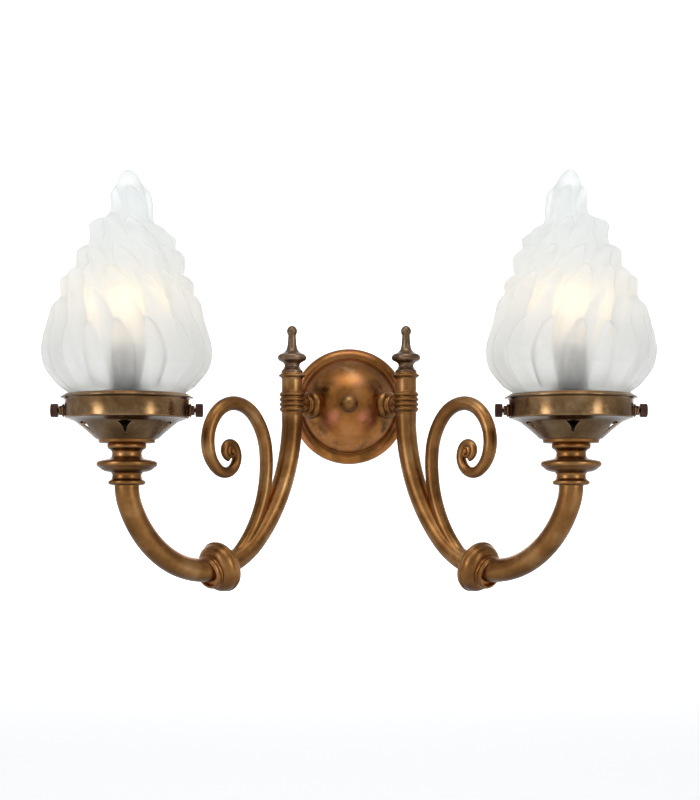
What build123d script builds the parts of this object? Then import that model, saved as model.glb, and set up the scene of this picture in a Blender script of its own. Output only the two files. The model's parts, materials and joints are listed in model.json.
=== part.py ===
from build123d import *
import os
from math import asin, cos, pi, radians, sin, sqrt, tan

# Double arm wall sconce.
# Origin: centre of the wall plate's rear face. +Z is up, +X is the viewer's right and the wall is the plane Y = 0,
# with the lights standing out towards -Y. Sizes are millimetres.
# Every arm piece is made for the right side and mirrored to the left.

# ---------------------------------------------------------------- driving dimensions
# wall plate
plate_diameter = 92.2
plate_crease_radius = 37.6
plate_wall = 1.2
dome_radius = 40.5
dome_centre_behind_wall = 8.5
stud_diameter = 6.0
knob_diameter = 13.9

# mounting strap
strap_width = 16.0
strap_thickness = 2.0
strap_rise = 6.0
strap_web_half = 22.0
strap_foot_start = 28.0
strap_foot_end = 41.0
slot_spacing = 69.0
slot_width = 4.5
slot_length = 9.0

# arms
arm_angle = 45.0
barrel_offset = 44.5
inner_arm_radius = 8.0
outer_arm_radius = 8.8
barrel_radius = 8.1
barrel_top = 19.1
arm_start = -9.6
inner_bends = ((139.6, 43.4), (72.3, 35.3))
outer_bends = ((72.3, 41.3), (79.0, 38.0), (37.1, 22.0))
knuckle_tilt = 20.0
stub_bore = 8.0
wire_bore = 5.0

# scroll: centreline bends from the crest down to the eye, and from the crest down to the knuckle
scroll_crest = (59.9, -2.0)
scroll_radius = 5.4
scroll_step = 34.0
scroll_tail_bends = ((27.4, 47.0), (46.0, 37.1), (96.0, 59.0))
scroll_curl_bends = ((24.5, 43.0), (31.5, 58.6), (23.8, 43.1), (11.8, 100.0), (8.6, 60.0), (6.8, 100.0), (5.6, 110.0))
scroll_curl_radii = (5.4, 5.3, 5.0, 4.4, 3.7, 3.4, 3.1, 2.6)
eye_boss_radius = 5.2
eye_boss_height = 4.4

# shade neck, the standard size that the gallery is made round
shade_neck_radius = 41.3
shade_neck_wall = 3.0
shade_neck_drop = 16.6

# gallery, measured down from its rim
neck_room = 2.5
gallery_wall = 1.0
band_radius = shade_neck_radius + neck_room + gallery_wall
rim_radius = band_radius + 3.0
band_height = 17.0
throat_radius = 23.2
throat_drop = 31.2
cutout_count = 5

# shade and lamp
shade_height = 162.4
shade_wall = 3.2
lobe_count = 6
bulb_radius = 22.5
bulb_centre_height = 71.0
holder_radius = 14.0
holder_top = 38.0

# shade screws
screw_drop = 11.7
screw_shank_radius = 1.5
screw_head_radius = 4.85
screw_head_length = 5.3
screw_reach = band_radius + 10.0
screw_angles = {"outer": 0.0, "inner": 180.0, "rear": 90.0}

# clearances
braze_gap = 0.1
seat_gap = 0.05
screw_clearance = 0.05
neck_clearance = 0.3

# ---------------------------------------------------------------- frames worked out from the dimensions
out_x = cos(radians(arm_angle))
out_y = -sin(radians(arm_angle))
outward = Vector(out_x, out_y, 0)
barrel_depth = barrel_offset * tan(radians(arm_angle)) - dome_centre_behind_wall
dome_centre = Vector(0, dome_centre_behind_wall, 0)
barrel_foot = Vector(barrel_offset, -barrel_depth, 0)
# local x runs outward along the arm, local y is up
arm_plane = Plane(origin=barrel_foot, x_dir=outward, z_dir=Vector(out_y, -out_x, 0))
dome_apex = dome_radius - dome_centre_behind_wall
# the dome's centre lies on every stub's axis, at this local x
centre_u = -(barrel_foot - dome_centre).length
dome_front_u = centre_u + dome_radius
dome_back_radius = dome_radius - plate_wall
up_axis = Axis(barrel_foot, (0, 0, 1))
stub_axis = Axis(barrel_foot, outward)


def bend_chain(start, direction, bends, turn):
    """Draws tangent arcs one after the other and gives the last one."""
    arc = None
    for radius, angle in bends:
        arc = JernArc(start, direction, radius, turn * angle)
        start = arc @ 1
        direction = arc % 1
    return arc


def banded_arc(start, via, end, bands=2):
    """A round stretch of a turned profile, through three points, as short straight bands."""
    start, via, end = Vector(start), Vector(via), Vector(end)
    curve = Edge.make_three_point_arc(start, via, end)
    points = [curve @ (number / bands) for number in range(bands + 1)]
    return Polyline(*[(point.X, point.Y) for point in points])


def path_sweep(path, radius):
    """A round bar along a path."""
    with BuildPart(mode=Mode.PRIVATE) as bar:
        with BuildSketch(Plane(path @ 0, z_dir=path % 0)):
            Circle(radius)
        sweep(path=path)
    return bar.part


def write(name, shape):
    shape.label = name
    export_step(shape, f"parts/{name}.step")


def write_pair(name, shape):
    """Writes the right piece and its mirror image on the left."""
    left = mirror(shape, about=Plane.YZ)
    write(f"right_{name}", shape)
    write(f"left_{name}", left)


os.makedirs("parts", exist_ok=True)

# ---------------------------------------------------------------- wall plate and what it hides
plate_radius = plate_diameter / 2
crease_depth = sqrt(dome_radius**2 - plate_crease_radius**2) - dome_centre_behind_wall
flange_swell = 2.1
hollow_bands = 5
flange_mid = ((plate_radius + plate_crease_radius) / 2, crease_depth / 2)


def plate_solid(inset, dome_bands):
    """The plate's outer form, or the hollow one wall thickness inside it. With no bands the dome is truly round."""
    ball = dome_radius - inset
    rim = plate_radius - inset
    crease = plate_crease_radius - inset / 2
    depth = sqrt(ball**2 - crease**2) - dome_centre_behind_wall
    with BuildPart(mode=Mode.PRIVATE) as form:
        with BuildSketch(Plane.XZ.rotated((90, 0, 0))) as half:
            with BuildLine():
                edge = Line((0, 0), (rim, 0))
                lip = Line(edge @ 1, (rim, 1.0))
                swell = (flange_mid[0] + flange_swell - inset, flange_mid[1] + flange_swell - inset / 2)
                flange = banded_arc(lip @ 1, swell, (crease, depth))
                half_depth = ball * cos(asin(crease / ball) / 2) - dome_centre_behind_wall
                dome_mid = (ball * sin(asin(crease / ball) / 2), half_depth)
                crown_point = (0, ball - dome_centre_behind_wall)
                if dome_bands:
                    dome = banded_arc(flange @ 1, dome_mid, crown_point, dome_bands)
                else:
                    dome = ThreePointArc(flange @ 1, dome_mid, crown_point)
                Line(dome @ 1, edge @ 0)
            make_face()
        revolve(axis=Axis.Y)
    return form.part


with BuildPart() as wall_plate:
    add(plate_solid(0, 0))
    add(plate_solid(plate_wall, hollow_bands), mode=Mode.SUBTRACT)
    with BuildSketch(Plane.XZ) as stud_hole:
        Circle(stud_diameter / 2 + 0.2)
    extrude(amount=dome_radius, mode=Mode.SUBTRACT)
    for side in (-1, 1):
        stub_plane = Plane(dome_centre, z_dir=(side * out_x, out_y, 0))
        with BuildSketch(stub_plane) as stub_hole:
            Circle(stub_bore / 2 + 0.2)
        extrude(amount=dome_radius + 1, mode=Mode.SUBTRACT)
write("wall_plate", wall_plate.part)

web_depth = strap_rise + strap_thickness
with BuildPart() as mounting_strap:
    with BuildSketch(Plane.YZ) as strap_side:
        with BuildLine():
            Polyline(
                (0, -strap_foot_end),
                (0, -strap_foot_start),
                (-strap_rise, -strap_web_half),
                (-strap_rise, strap_web_half),
                (0, strap_foot_start),
                (0, strap_foot_end),
                (-strap_thickness, strap_foot_end),
                (-strap_thickness, strap_foot_start + 0.6),
                (-web_depth, strap_web_half + 0.6),
                (-web_depth, -strap_web_half - 0.6),
                (-strap_thickness, -strap_foot_start - 0.6),
                (-strap_thickness, -strap_foot_end),
                close=True,
            )
        make_face()
    extrude(amount=strap_width / 2, both=True)
    with BuildSketch(Plane.XZ) as strap_slots:
        with Locations((0, slot_spacing / 2), (0, -slot_spacing / 2)):
            SlotOverall(slot_length, slot_width, rotation=90)
    extrude(amount=web_depth, both=True, mode=Mode.SUBTRACT)
    with BuildSketch(Plane.XZ) as strap_stud_hole:
        Circle(stud_diameter / 2 + screw_clearance)
    extrude(amount=web_depth, both=True, mode=Mode.SUBTRACT)
    earth_height = -strap_web_half + 8
    with BuildSketch(Plane.XZ) as earth_hole:
        with Locations((0, earth_height)):
            Circle(2.0 + screw_clearance)
    extrude(amount=web_depth, both=True, mode=Mode.SUBTRACT)
write("mounting_strap", mounting_strap.part)

nut_flats = 10.0
nut_height = 3.0
knob_thread_depth = 8.0
stud_end = dome_apex + knob_thread_depth - 0.5
with BuildPart() as centre_stud:
    with BuildSketch(Plane.XZ.offset(strap_rise - nut_height - 1)):
        Circle(stud_diameter / 2)
    extrude(amount=stud_end - strap_rise + nut_height + 1)
    chamfer(centre_stud.edges().filter_by(GeomType.CIRCLE), 0.5)
write("centre_stud", centre_stud.part)

with BuildPart() as stud_nuts:
    for depth in (strap_rise - nut_height, web_depth):
        with BuildSketch(Plane.XZ.offset(depth)):
            RegularPolygon(nut_flats / 2, 6, major_radius=False)
            Circle(stud_diameter / 2 + screw_clearance, mode=Mode.SUBTRACT)
        extrude(amount=nut_height)
write("stud_nuts", stud_nuts.part)

with BuildPart() as earth_screw:
    with BuildSketch(Plane.XZ.offset(strap_rise - 2)):
        with Locations((0, earth_height)):
            Circle(2.0)
    extrude(amount=strap_thickness + 2)
    with BuildSketch(Plane.XZ.offset(web_depth)) as washer:
        with Locations((0, earth_height)):
            Circle(4.6)
    extrude(amount=1.0)
    with BuildSketch(Plane.XZ.offset(web_depth + 1)) as pan_head:
        with Locations((0, earth_height)):
            Circle(3.6)
    extrude(amount=2.4)
    with BuildSketch(Plane.XZ.offset(web_depth + 2.2)) as driver_slot:
        with Locations((0, earth_height)):
            Rectangle(8, 0.9)
    extrude(amount=2.0, mode=Mode.SUBTRACT)
write("earth_screw", earth_screw.part)

block_length = 22.0
block_height = 11.0
block_depth = 10.0
block_centre = strap_web_half - block_height / 2 - 1.5
with BuildPart() as terminal_block:
    with BuildSketch(Plane.XZ.offset(web_depth)):
        with Locations((0, block_centre)):
            Rectangle(block_length, block_height)
    extrude(amount=block_depth)
    fillet(terminal_block.edges().filter_by(Axis.Y), 1.0)
    with BuildSketch(Plane.XZ.offset(web_depth + block_depth)) as terminal_wells:
        with Locations((0, block_centre)):
            with GridLocations(6.6, 1, 3, 1):
                Circle(1.9)
    extrude(amount=-4.5, mode=Mode.SUBTRACT)
    with BuildSketch(Plane.XY.offset(block_centre + block_height / 2)) as wire_ways:
        with Locations((0, -web_depth - block_depth / 2 + 1)):
            with GridLocations(6.6, 1, 3, 1):
                Circle(1.5)
    extrude(amount=-4.0, mode=Mode.SUBTRACT)
write("terminal_block", terminal_block.part)

knob_radius = knob_diameter / 2
knob_base_radius = 5.9
knob_base_height = 2.2
knob_ball_depth = dome_apex + knob_base_height + sqrt(knob_radius**2 - 5.2**2)
with BuildPart() as centre_knob:
    with BuildSketch(Plane.XZ.rotated((90, 0, 0))) as knob_half:
        with BuildLine():
            foot = Polyline(
                (0, dome_apex),
                (knob_base_radius, dome_apex),
                (knob_base_radius, dome_apex + knob_base_height - 0.7),
                (5.2, dome_apex + knob_base_height),
            )
            crown = ThreePointArc(foot @ 1, (knob_radius, knob_ball_depth), (0, knob_ball_depth + knob_radius))
            Line(crown @ 1, foot @ 0)
        make_face()
    revolve(axis=Axis.Y)
    with BuildSketch(Plane.XZ.offset(dome_apex)) as knob_thread:
        Circle(stud_diameter / 2 + screw_clearance)
    extrude(amount=knob_thread_depth, mode=Mode.SUBTRACT)
write("centre_knob", centre_knob.part)

# ---------------------------------------------------------------- stub between the dome and the barrel
bead_radius = 11.0
neck_radius = 6.5
reed_radius = 9.9
with BuildPart() as stub:
    with BuildSketch(arm_plane) as stub_half:
        with BuildLine():
            back = Line((dome_front_u - 2, 0), (dome_front_u - 2, bead_radius - 1.5))
            bead = banded_arc(back @ 1, (dome_front_u + 2.6, bead_radius), (dome_front_u + 6.2, 8.2))
            cove = banded_arc(bead @ 1, (dome_front_u + 6.6, 6.9), (dome_front_u + 7.6, neck_radius))
            step = Polyline(cove @ 1, (dome_front_u + 7.6, 7.5), (dome_front_u + 9.8, 7.5))
            neck = Polyline(step @ 1, (dome_front_u + 9.8, neck_radius), (0, neck_radius), (0, 0), back @ 0)
        make_face()
    revolve(axis=stub_axis)
    with Locations(dome_centre):
        Sphere(dome_radius + seat_gap, mode=Mode.SUBTRACT)
    with BuildSketch(Plane(barrel_foot, z_dir=(0, 0, 1))) as barrel_clear:
        Circle(reed_radius + seat_gap)
    extrude(amount=bead_radius, both=True, mode=Mode.SUBTRACT)
    with BuildSketch(Plane(dome_centre, z_dir=outward)) as nipple_way:
        Circle(stub_bore / 2 + screw_clearance)
    extrude(amount=-centre_u, mode=Mode.SUBTRACT)
write_pair("stub", stub.part)

locknut_flats = 12.0
locknut_height = 3.0
locknut_corner = locknut_flats / 2 / cos(pi / 6)
# the hollow's bands stand a little inside its round
band_sag = dome_back_radius * (1 - cos(asin(plate_crease_radius / dome_radius) / (2 * hollow_bands)))
locknut_face = sqrt(dome_back_radius**2 - locknut_corner**2) - band_sag - seat_gap
nipple_start = locknut_face - locknut_height - 1
nipple_end = -centre_u - 4.0
with BuildPart() as stub_nipple:
    with BuildSketch(Plane(dome_centre + outward * nipple_start, z_dir=outward)):
        Circle(stub_bore / 2)
        Circle(wire_bore / 2, mode=Mode.SUBTRACT)
    extrude(amount=nipple_end - nipple_start)
write_pair("stub_nipple", stub_nipple.part)

with BuildPart() as stub_locknut:
    with BuildSketch(Plane(dome_centre + outward * locknut_face, z_dir=outward)):
        RegularPolygon(locknut_flats / 2, 6, major_radius=False)
        Circle(stub_bore / 2 + screw_clearance, mode=Mode.SUBTRACT)
    extrude(amount=-locknut_height)
write_pair("stub_locknut", stub_locknut.part)

# ---------------------------------------------------------------- barrel, collar and finial
band_base_radius = 8.9
reed_pitch = 3.83
reed_half = 1.15
reed_top = 7.4
reed_count = 4
spigot_radius = 2.5
spigot_length = 8.0
with BuildPart() as barrel:
    with BuildSketch(arm_plane) as barrel_half:
        with BuildLine():
            base = Polyline((0, arm_start), (barrel_radius, arm_start), (barrel_radius, -6.3), (band_base_radius, -5.6))
            tip = base @ 1
            for ring in reversed(range(reed_count)):
                height = reed_top - ring * reed_pitch
                rise = Line(tip, (band_base_radius, height - reed_half))
                reed = banded_arc(rise @ 1, (reed_radius, height), (band_base_radius, height + reed_half))
                tip = reed @ 1
            top = Polyline(
                tip,
                (band_base_radius, reed_top + 1.4),
                (barrel_radius, reed_top + 2.0),
                (barrel_radius, barrel_top),
                (0, barrel_top),
                (0, arm_start),
            )
        make_face()
    revolve(axis=up_axis)
    with BuildSketch(Plane(barrel_foot + outward * (nipple_end + centre_u), z_dir=-outward)) as nipple_hole:
        Circle(stub_bore / 2 + screw_clearance)
    extrude(amount=barrel_radius + 3, mode=Mode.SUBTRACT)
    with BuildSketch(Plane(barrel_foot + Vector(0, 0, barrel_top), z_dir=(0, 0, 1))) as spigot_hole:
        Circle(spigot_radius + screw_clearance)
    extrude(amount=-spigot_length - 0.5, mode=Mode.SUBTRACT)
write_pair("barrel", barrel.part)

collar_radius = 10.5
collar_height = 5.4
with BuildPart() as collar:
    with BuildSketch(arm_plane) as collar_half:
        with BuildLine():
            skirt = Line((spigot_radius + screw_clearance, barrel_top), (barrel_radius, barrel_top))
            flare = banded_arc(skirt @ 1, (8.75, barrel_top + 1.7), (9.8, barrel_top + 2.4))
            ring = banded_arc(flare @ 1, (collar_radius, barrel_top + 3.1), (9.8, barrel_top + 3.9))
            Polyline(
                ring @ 1,
                (8.7, barrel_top + 4.6),
                (8.5, barrel_top + collar_height),
                (spigot_radius + screw_clearance, barrel_top + collar_height),
                skirt @ 0,
            )
        make_face()
    revolve(axis=up_axis)
write_pair("collar", collar.part)

finial_foot = barrel_top + collar_height
ball_radius = 4.05
ball_neck = 3.05
finial_height = 36.8
ball_height = finial_foot + finial_height - ball_radius
with BuildPart() as finial:
    with BuildSketch(arm_plane) as finial_half:
        with BuildLine():
            spigot = Polyline(
                (0, finial_foot - collar_height - spigot_length),
                (spigot_radius, finial_foot - collar_height - spigot_length),
                (spigot_radius, finial_foot),
                (8.3, finial_foot),
                (8.3, finial_foot + 1.2),
            )
            shoulder = banded_arc(spigot @ 1, (7.9, finial_foot + 2.5), (6.6, finial_foot + 3.4))
            waist = banded_arc(shoulder @ 1, (5.9, finial_foot + 5.3), (6.6, finial_foot + 7.2))
            under = Line(waist @ 1, (9.6, finial_foot + 9.4))
            bulge = banded_arc(under @ 1, (11.3, finial_foot + 11.7), (9.6, finial_foot + 14.2))
            ogee = banded_arc(bulge @ 1, (6.2, finial_foot + 16.1), (4.0, finial_foot + 19.0))
            stem = Line(ogee @ 1, (ball_neck, ball_height - sqrt(ball_radius**2 - ball_neck**2)))
            ball = ThreePointArc(stem @ 1, (ball_radius, ball_height), (0, ball_height + ball_radius))
            Line(ball @ 1, spigot @ 0)
        make_face()
    revolve(axis=up_axis)
write_pair("finial", finial.part)

# ---------------------------------------------------------------- arms
with BuildLine(arm_plane) as inner_path:
    bend_chain((0, arm_start), (0, -1), inner_bends, 1)
knuckle_centre = inner_path.line @ 1
arm_along = inner_path.line % 1
inner_end = arm_plane.to_local_coords(knuckle_centre)
inner_heading = arm_plane.to_local_coords(knuckle_centre + arm_along) - inner_end
with BuildLine(arm_plane) as outer_path:
    bend_chain((inner_end.X, inner_end.Y), (inner_heading.X, inner_heading.Y), outer_bends, 1)
arm_top = outer_path.line @ 1
cup_foot = Vector(arm_top.X, arm_top.Y, 0)
cup_axis = Axis(cup_foot, (0, 0, 1))
arm_top_height = arm_top.Z

with BuildPart() as inner_arm:
    add(path_sweep(inner_path.line, inner_arm_radius))
write_pair("inner_arm", inner_arm.part)

with BuildPart() as outer_arm:
    add(path_sweep(outer_path.line, outer_arm_radius))
write_pair("outer_arm", outer_arm.part)

# ---------------------------------------------------------------- knuckle where the arms and the scroll meet
knuckle_radius = 20.5
knuckle_along = outward * cos(radians(knuckle_tilt)) - Vector(0, 0, sin(radians(knuckle_tilt)))
knuckle_axis = Axis(knuckle_centre, knuckle_along)
with BuildPart() as knuckle:
    with BuildSketch(Plane(knuckle_centre, x_dir=knuckle_along, z_dir=arm_plane.z_dir)) as knuckle_half:
        with BuildLine():
            boss = Polyline((-8.6, 0), (-8.6, 10.6), (-7.8, 11.6), (-5.8, 11.6), (-5.8, 18.6))
            bead = banded_arc(boss @ 1, (-4.1, knuckle_radius), (-2.3, 19.5))
            rim = Line(bead @ 1, (-1.7, 19.5))
            body = banded_arc(rim @ 1, (2.6, 17.6), (6.0, 12.9))
            cove = banded_arc(body @ 1, (6.5, 11.5), (7.8, 11.3))
            collar_bead = banded_arc(cove @ 1, (9.4, 12.7), (11.6, 12.3))
            Polyline(collar_bead @ 1, (12.2, 11.9), (12.2, 0), (-8.6, 0))
        make_face()
    revolve(axis=knuckle_axis)
    add(path_sweep(inner_path.line, inner_arm_radius + braze_gap), mode=Mode.SUBTRACT)
    add(path_sweep(outer_path.line, outer_arm_radius + braze_gap), mode=Mode.SUBTRACT)
write_pair("knuckle", knuckle.part)

# ---------------------------------------------------------------- scroll
with BuildLine(arm_plane) as tail_path:
    bend_chain(scroll_crest, (-1, 0), scroll_tail_bends, 1)
with BuildPart() as scroll:
    add(path_sweep(tail_path.line, scroll_radius))
    start = scroll_crest
    heading = (1, 0)
    for (bend_radius, bend_angle), near, far in zip(scroll_curl_bends, scroll_curl_radii, scroll_curl_radii[1:]):
        with BuildLine(arm_plane, mode=Mode.PRIVATE) as curl_path:
            JernArc(start, heading, bend_radius, -bend_angle)
        curl = curl_path.line
        steps = max(2, round(bend_angle / scroll_step))
        with BuildPart(mode=Mode.PRIVATE) as curl_piece:
            for step_number in range(steps + 1):
                share = step_number / steps
                with BuildSketch(Plane(curl @ share, x_dir=arm_plane.z_dir, z_dir=curl % share)):
                    Circle(near + (far - near) * share)
            loft(ruled=True)
        add(curl_piece.part)
        end = arm_plane.to_local_coords(curl @ 1)
        ahead = arm_plane.to_local_coords(curl @ 1 + curl % 1) - end
        start = (end.X, end.Y)
        heading = (ahead.X, ahead.Y)
    eye_centre = arm_plane.from_local_coords(Vector(62.0, -37.8, 0))
    with BuildSketch(Plane(eye_centre, x_dir=outward, z_dir=(0, 0, 1))) as eye_half:
        with BuildLine():
            foot = Line((0, 0), (eye_boss_radius, 0))
            shoulder = banded_arc(foot @ 1, (4.6, 2.0), (2.6, 3.2))
            nipple = banded_arc(shoulder @ 1, (1.6, 4.0), (0, eye_boss_height))
            Line(nipple @ 1, foot @ 0)
        make_face()
    revolve(axis=Axis(eye_centre, arm_plane.z_dir))
    add(path_sweep(inner_path.line, inner_arm_radius + braze_gap), mode=Mode.SUBTRACT)
    with BuildSketch(Plane(knuckle_centre - knuckle_along * 8.7, z_dir=knuckle_along)) as tail_cut:
        Circle(30)
    extrude(amount=60, mode=Mode.SUBTRACT)
write_pair("scroll", scroll.part)

# ---------------------------------------------------------------- stem under the gallery
gallery_floor = -throat_drop
seat_top = gallery_floor - gallery_wall
seat_height = 3.0
stem_top = seat_top - seat_height
cup_plane = Plane(origin=cup_foot, x_dir=(1, 0, 0), z_dir=(0, -1, 0))
nipple_radius = 5.0
stem_disc_radius = 22.0
stem_ring_radius = 13.5
stem_waist_radius = 9.9
disc_height = -49.9
with BuildPart() as stem:
    with BuildSketch(cup_plane) as stem_half:
        with BuildLine():
            top = Line((nipple_radius + screw_clearance, stem_top), (12.6, stem_top))
            top_bead = banded_arc(top @ 1, (stem_ring_radius, stem_top - 1.2), (12.6, stem_top - 2.4))
            upper_cove = banded_arc(top_bead @ 1, (10.6, stem_top - 4.7), (stem_waist_radius, stem_top - 6.6))
            waist = Line(upper_cove @ 1, (stem_waist_radius, disc_height + 6.3))
            lift = banded_arc(waist @ 1, (11.6, disc_height + 5.1), (15.2, disc_height + 3.8))
            upper_slope = Line(lift @ 1, (20.4, disc_height + 1.9))
            edge = banded_arc(upper_slope @ 1, (stem_disc_radius, disc_height), (20.4, disc_height - 1.9))
            lower_slope = Line(edge @ 1, (15.2, disc_height - 3.8))
            drop = banded_arc(lower_slope @ 1, (11.4, disc_height - 5.2), (stem_waist_radius, disc_height - 7.0))
            lower_waist = Line(drop @ 1, (stem_waist_radius, arm_top_height + 7.8))
            lower_cove = banded_arc(lower_waist @ 1, (10.9, arm_top_height + 5.1), (12.9, arm_top_height + 3.6))
            foot_bead = banded_arc(
                lower_cove @ 1, (stem_ring_radius, arm_top_height + 2.1), (12.2, arm_top_height + 0.8)
            )
            Polyline(
                foot_bead @ 1,
                (9.6, arm_top_height),
                (nipple_radius + screw_clearance, arm_top_height),
                top @ 0,
            )
        make_face()
    revolve(axis=cup_axis)
write_pair("stem", stem.part)

with BuildPart() as gallery_seat:
    with BuildSketch(cup_plane) as seat_half:
        with BuildLine():
            Polyline(
                (nipple_radius + screw_clearance, stem_top),
                (19.7, stem_top),
                (20.2, stem_top + 0.8),
                (20.2, seat_top - 0.9),
                (21.6, seat_top),
                (nipple_radius + screw_clearance, seat_top),
                close=True,
            )
        make_face()
    revolve(axis=cup_axis)
write_pair("gallery_seat", gallery_seat.part)

# ---------------------------------------------------------------- gallery that carries the shade
band_inner = band_radius - gallery_wall
shoulder_radius = band_radius - 7.8
shoulder_drop = band_height + 2.6
with BuildPart() as gallery:
    with BuildSketch(cup_plane) as gallery_half:
        with BuildLine():
            floor_edge = Line((nipple_radius + screw_clearance, seat_top), (throat_radius - 0.4, seat_top))
            cone = banded_arc(floor_edge @ 1, (29.3, -25.5 - gallery_wall / 2), (shoulder_radius, -shoulder_drop))
            shoulder = Line(cone @ 1, (band_radius - 0.9, -band_height - 0.2))
            knee = banded_arc(shoulder @ 1, (band_radius - 0.2, -band_height + 0.3), (band_radius, -band_height + 1.2))
            band = Line(knee @ 1, (band_radius, -4.4))
            flare = banded_arc(band @ 1, (band_radius + 1.0, -3.6), (rim_radius - 0.6, -3.2))
            lip = banded_arc(flare @ 1, (rim_radius, -2.4), (rim_radius - 0.6, -1.5))
            crown = banded_arc(lip @ 1, (band_radius + 1.2, -0.4), (band_radius - 0.3, 0))
            inside = Polyline(
                crown @ 1,
                (band_inner, -0.5),
                (band_inner, -band_height + 1.0),
                (band_inner - 0.8, -band_height + 0.7),
                (shoulder_radius - 0.2, -shoulder_drop + gallery_wall),
            )
            inner_cone = banded_arc(inside @ 1, (28.6, -24.8), (throat_radius - 0.9, gallery_floor))
            Polyline(inner_cone @ 1, (nipple_radius + screw_clearance, gallery_floor), floor_edge @ 0)
        make_face()
    revolve(axis=cup_axis)
    # tulip openings round the cone
    tulip_top = -20.9
    tulip_foot = -28.6
    tulip_half = 4.9
    for number in range(cutout_count):
        facing = radians(-90 - 4 + number * 360 / cutout_count)
        facing_plane = Plane(cup_foot, x_dir=(-sin(facing), cos(facing), 0), z_dir=(cos(facing), sin(facing), 0))
        with BuildSketch(facing_plane) as tulip:
            with BuildLine():
                brow = ThreePointArc((-tulip_half, tulip_top - 0.4), (0, tulip_top + 0.5), (tulip_half, tulip_top - 0.4))
                right_edge = ThreePointArc(brow @ 1, (1.8, tulip_top - 3.4), (0.9, tulip_foot))
                sole = Line(right_edge @ 1, (-0.9, tulip_foot))
                ThreePointArc(sole @ 1, (-1.8, tulip_top - 3.4), brow @ 0)
            make_face()
        extrude(amount=band_radius - 2, mode=Mode.SUBTRACT)
    # holes for the shade screws' bushes
    bush_barrel_radius = 3.4
    for angle in screw_angles.values():
        facing = radians(angle)
        screw_plane = Plane(cup_foot - Vector(0, 0, screw_drop), z_dir=(cos(facing), sin(facing), 0))
        with BuildSketch(screw_plane) as bush_hole:
            Circle(screw_shank_radius + 0.6)
        extrude(amount=rim_radius, mode=Mode.SUBTRACT)
write_pair("gallery", gallery.part)

nipple_foot = arm_top_height + 5
nipple_top = gallery_floor + 12
with BuildPart() as gallery_nipple:
    with BuildSketch(Plane(cup_foot + Vector(0, 0, nipple_foot), z_dir=(0, 0, 1))):
        Circle(nipple_radius)
        Circle(nipple_radius - 1.5, mode=Mode.SUBTRACT)
    extrude(amount=nipple_top - nipple_foot)
write_pair("gallery_nipple", gallery_nipple.part)

gallery_nut_flats = 14.0
gallery_nut_height = 4.0
with BuildPart() as gallery_nut:
    with BuildSketch(Plane(cup_foot + Vector(0, 0, gallery_floor), z_dir=(0, 0, 1))):
        RegularPolygon(gallery_nut_flats / 2, 6, major_radius=False)
        Circle(nipple_radius + screw_clearance, mode=Mode.SUBTRACT)
    extrude(amount=gallery_nut_height)
write_pair("gallery_nut", gallery_nut.part)

# ---------------------------------------------------------------- bushes and screws that hold the shade
bush_flange_radius = 4.75
bush_flange = 1.7
bush_ring = 2.2
with BuildPart() as screw_bushes:
    for angle in screw_angles.values():
        facing = radians(angle)
        screw_plane = Plane(cup_foot - Vector(0, 0, screw_drop), z_dir=(cos(facing), sin(facing), 0))
        with BuildSketch(screw_plane.offset(band_radius + seat_gap)) as bush_flange_face:
            Circle(bush_flange_radius)
        extrude(amount=bush_flange)
        with BuildSketch(screw_plane.offset(band_radius + seat_gap + bush_flange)) as bush_ring_face:
            Circle(bush_barrel_radius)
        extrude(amount=bush_ring)
        with BuildSketch(screw_plane.offset(band_radius)) as bush_bore:
            Circle(screw_shank_radius + screw_clearance)
        extrude(amount=10, mode=Mode.SUBTRACT)
write_pair("screw_bushes", screw_bushes.part)

screw_tip = shade_neck_radius + neck_clearance
for place, angle in screw_angles.items():
    facing = radians(angle)
    screw_plane = Plane(cup_foot - Vector(0, 0, screw_drop), z_dir=(cos(facing), sin(facing), 0))
    with BuildPart() as shade_screw:
        with BuildSketch(screw_plane.offset(screw_tip)) as shank:
            Circle(screw_shank_radius)
        extrude(amount=screw_reach - screw_head_length - screw_tip)
        with BuildSketch(screw_plane.offset(screw_reach - screw_head_length)) as head:
            Circle(screw_head_radius)
        extrude(amount=screw_head_length)
        head_edges = shade_screw.edges().filter_by(GeomType.CIRCLE).group_by(SortBy.RADIUS)[-1]
        chamfer(head_edges, 0.4)
    write_pair(f"{place}_shade_screw", shade_screw.part)

# ---------------------------------------------------------------- lampholder
holder_foot = gallery_floor + gallery_nut_height
cap_height = 15.0
holder_wall = 1.2
lamp_cap_radius = 6.95
lamp_cap_length = 27.0
with BuildPart() as holder_cap:
    with BuildSketch(cup_plane) as holder_cap_half:
        with BuildLine():
            boss = Polyline(
                (nipple_radius + screw_clearance, holder_foot),
                (8.0, holder_foot),
                (8.0, holder_foot + 5.0),
            )
            dome = banded_arc(boss @ 1, (12.2, holder_foot + 8.0), (holder_radius, holder_foot + cap_height))
            hollow = Line(dome @ 1, (holder_radius - holder_wall, holder_foot + cap_height))
            inner_dome = banded_arc(hollow @ 1, (11.2, holder_foot + 9.0), (7.0, holder_foot + 6.4))
            Polyline(inner_dome @ 1, (nipple_radius + screw_clearance, holder_foot + 6.4), boss @ 0)
        make_face()
    revolve(axis=cup_axis)
write_pair("holder_cap", holder_cap.part)

sleeve_foot = holder_foot + cap_height
with BuildPart() as holder_sleeve:
    with BuildSketch(Plane(cup_foot + Vector(0, 0, sleeve_foot), z_dir=(0, 0, 1))):
        Circle(holder_radius)
        Circle(holder_radius - holder_wall, mode=Mode.SUBTRACT)
    extrude(amount=holder_top - sleeve_foot)
write_pair("holder_sleeve", holder_sleeve.part)

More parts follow.
